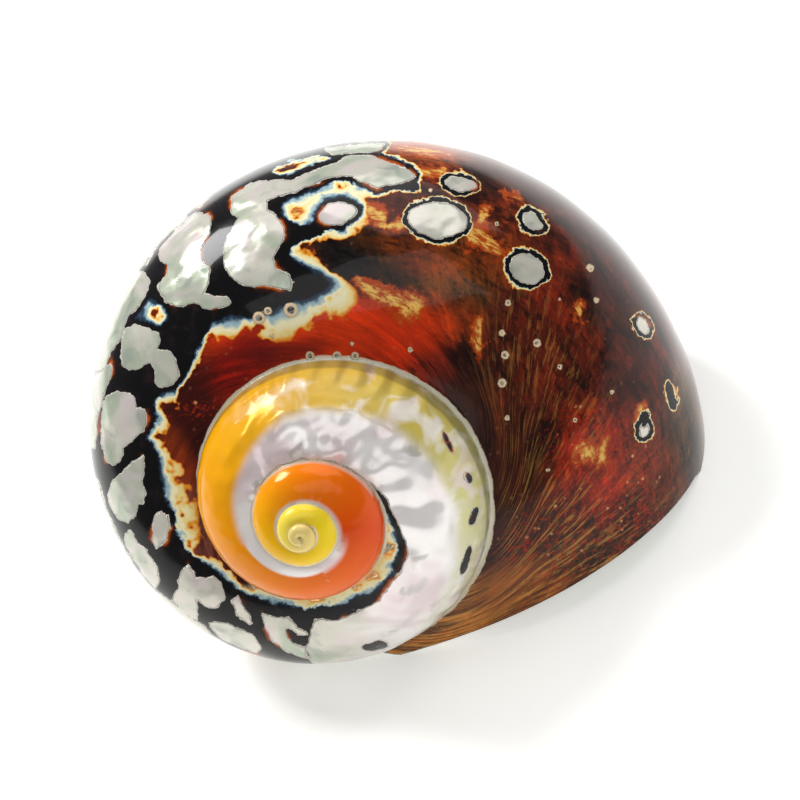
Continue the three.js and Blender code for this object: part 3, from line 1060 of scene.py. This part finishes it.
def pearl():
    """The pearl: silvery on the last turn, warmer and stained by the layers on the spire."""
    silver = mix(ramp(sheen, 0.4, 0.6), rgba(214, 210, 198), rgba(184, 192, 172))
    silver = mix(times(ramp(sheen_fine, 0.5, 0.7), 0.7), silver, rgba(222, 206, 208))
    silver = mix(times(ramp(sheen_fine, 0.46, 0.3), 0.6), silver, rgba(150, 160, 152))
    white = mix(ramp(sheen, 0.4, 0.62), rgba(250, 246, 244), rgba(232, 214, 216))
    white = mix(ramp(sheen_fine, 0.42, 0.3), white, rgba(206, 200, 196))
    bare = mix(on_whorls, silver, white)
    newer = one_minus(ramp(growth_in, -1.35, -1.6))
    clear = times(newer, ramp(sheen_fine, 0.45, 0.65, 0.0, 0.75))
    return mix(stain_in, bare, mix(clear, tint_in, bare))


def rimmed_and_groove_shaded(paint):
    """The chalky rim where the coil meets the turn before, and the groove beside it, darkened with painted
    shade.
    """
    rim = times(ramp(jitter(across_in, medium, 0.03), 0.024, 0.016), ramp(growth_in, -3.2, -2.6))
    rim = times(rim, ramp(around_in, 0.3, 0.5))
    paint = mix(times(rim, 0.85), paint, rgba(226, 216, 190))
    # Painted shade: the groove next to the suture is darkened halfway towards dark olive
    groove_shade = times(ramp(across_in, 0.968, 0.985), ramp(growth_in, -0.9, -1.0))
    return mix(times(groove_shade, 0.5), paint, rgba(90, 84, 60))


def scarred(paint):
    """The round scars' cream rings and grey middles."""
    paint = mix(ramp(scar_in, 1.15, 0.95), paint, rgba(222, 196, 160))
    grey = mix(ramp(fine, 0.4, 0.6), rgba(60, 52, 46), rgba(150, 150, 140))
    return mix(ramp(scar_in, 0.66, 0.5), paint, grey)


def pearl_relief():
    """The pearl's gentle waves, and its step down from the layers round it."""
    waves = noise(place, 260.0, 1.5, 0.4)
    wide_waves = noise(place, 110.0, 1.0, 0.4)
    height = times(times(waves, on_window), ramp(on_whorls, 0.0, 1.0, 0.8, 0.25))
    height = plus(height, times(times(wide_waves, on_window), 0.9))
    return plus(height, times(on_window, -0.08))


def spire_relief():
    """Ribs and beads round the spire's outer turns."""
    ribs = noise(vector(times(growth_in, 26.0), times(across_in, 3.6), 0.0), 1.0, 0.0, 0.5)
    ribs = times(times(ribs, ramp(growth_in, -1.75, -1.5)), on_whorls)
    height = times(times(ribs, ramp(across_in, 0.8, 0.6)), 1.5)
    beads = maths("SINE", times(jitter(growth_in, coarse, 0.01), 2 * math.pi * 38))
    beads = times(times(beads, ramp(growth_in, -1.6, -1.45)), on_whorls)
    return plus(height, times(times(beads, ramp(across_in, 0.8, 0.93)), 0.25))


def relief():
    """All the relief that is too fine for the mesh."""
    height = plus(pearl_relief(), times(times(growth_lines, one_minus(on_window)), 0.05))
    height = plus(height, times(fine, plus(0.012, times(speckle_in, 0.12))))
    height = plus(height, spire_relief())
    return plus(height, times(ramp(scar_in, 1.3, 0.8), 0.3))


outside = mix(on_window, blackened(edged(flamed(flecked(streaked_skin())))), pearl())
outside = scarred(rimmed_and_groove_shaded(outside))
mouth = mix(ramp(sheen, 0.35, 0.65), rgba(232, 228, 220), rgba(206, 214, 200))
pearly = maths("MAXIMUM", times(on_window, one_minus(times(stain_in, 0.85))), inside_in)

put(shader.inputs["Base Color"], mix(inside_in, outside, mouth))
put(shader.inputs["Metallic"], times(pearly, 0.35))
put(shader.inputs["Roughness"], ramp(pearly, 0.0, 1.0, 0.17, 0.24))
settle(shader, {"Specular IOR Level": 0.08, "Coat Weight": 0.35, "Coat Roughness": 0.05, "Coat IOR": 1.45})

bump = node("ShaderNodeBump")
put(bump.inputs["Height"], relief())
settle(bump, {"Distance": 0.001, "Strength": 0.8})
put(shader.inputs["Normal"], bump.outputs[0])
body.materials.clear()
body.materials.append(material)


def coil_to_world(point):
    return (REST @ Vector(point) + Vector((offset[0], offset[1], REST_HEIGHT))) * 0.001


# The camera
SENSOR_WIDTH = 36
camera_data = bpy.data.cameras.new("camera")
camera_data.sensor_width = SENSOR_WIDTH
camera_data.lens = SENSOR_WIDTH * DISTANCE_PIXELS / PICTURE_WIDTH
camera_data.clip_start = 0.01
camera = add_object("camera", camera_data)
rotation = REST.to_3x3()
axes = Matrix((rotation @ right, rotation @ upward, rotation @ towards)).transposed()
camera.matrix_world = Matrix.Translation(coil_to_world(eye)) @ axes.to_4x4()
bpy.context.scene.camera = camera

# The floor glows a little, to be as pale as the photograph's background
FLOOR_GLOW = 0.38
floor_mesh = bpy.data.meshes.new("floor")
floor_mesh.from_pydata([(-3, -3, 0), (3, -3, 0), (3, 3, 0), (-3, 3, 0)], [], [(0, 1, 2, 3)])
floor = add_object("floor", floor_mesh)
floor_material = bpy.data.materials.new("floor")
floor_material.use_nodes = True
floor_shader = floor_material.node_tree.nodes["Principled BSDF"]
settle(floor_shader, {
    "Base Color": (0.9, 0.9, 0.88, 1), "Roughness": 0.6,
    "Emission Color": (1, 1, 0.97, 1), "Emission Strength": FLOOR_GLOW,
})
floor_mesh.materials.append(floor_material)

# Even white light from all round
SKY_LIGHT = 0.26
world = bpy.data.worlds.new("world")
bpy.context.scene.world = world
world.use_nodes = True
settle(world.node_tree.nodes["Background"], {"Color": (1, 1, 1, 1), "Strength": SKY_LIGHT})
bpy.context.scene.view_settings.view_transform = "Standard"

LIT_PLACE = Vector((0, 0, 0.02))


def area_light(name, at, size, power):
    data = bpy.data.lights.new(name, "AREA")
    data.shape = "RECTANGLE"
    data.size, data.size_y = size
    data.energy = power
    light = add_object(name, data)
    light.location = at
    light.rotation_euler = (LIT_PLACE - Vector(at)).to_track_quat("-Z", "Y").to_euler()


area_light("key", (-0.22, 0.37, 0.58), (0.26, 0.26), 4.4)
area_light("fill", (0.45, 0.25, 0.7), (0.7, 0.7), 2.6)
area_light("front", (0.1, -0.6, 0.7), (0.9, 0.5), 1.6)
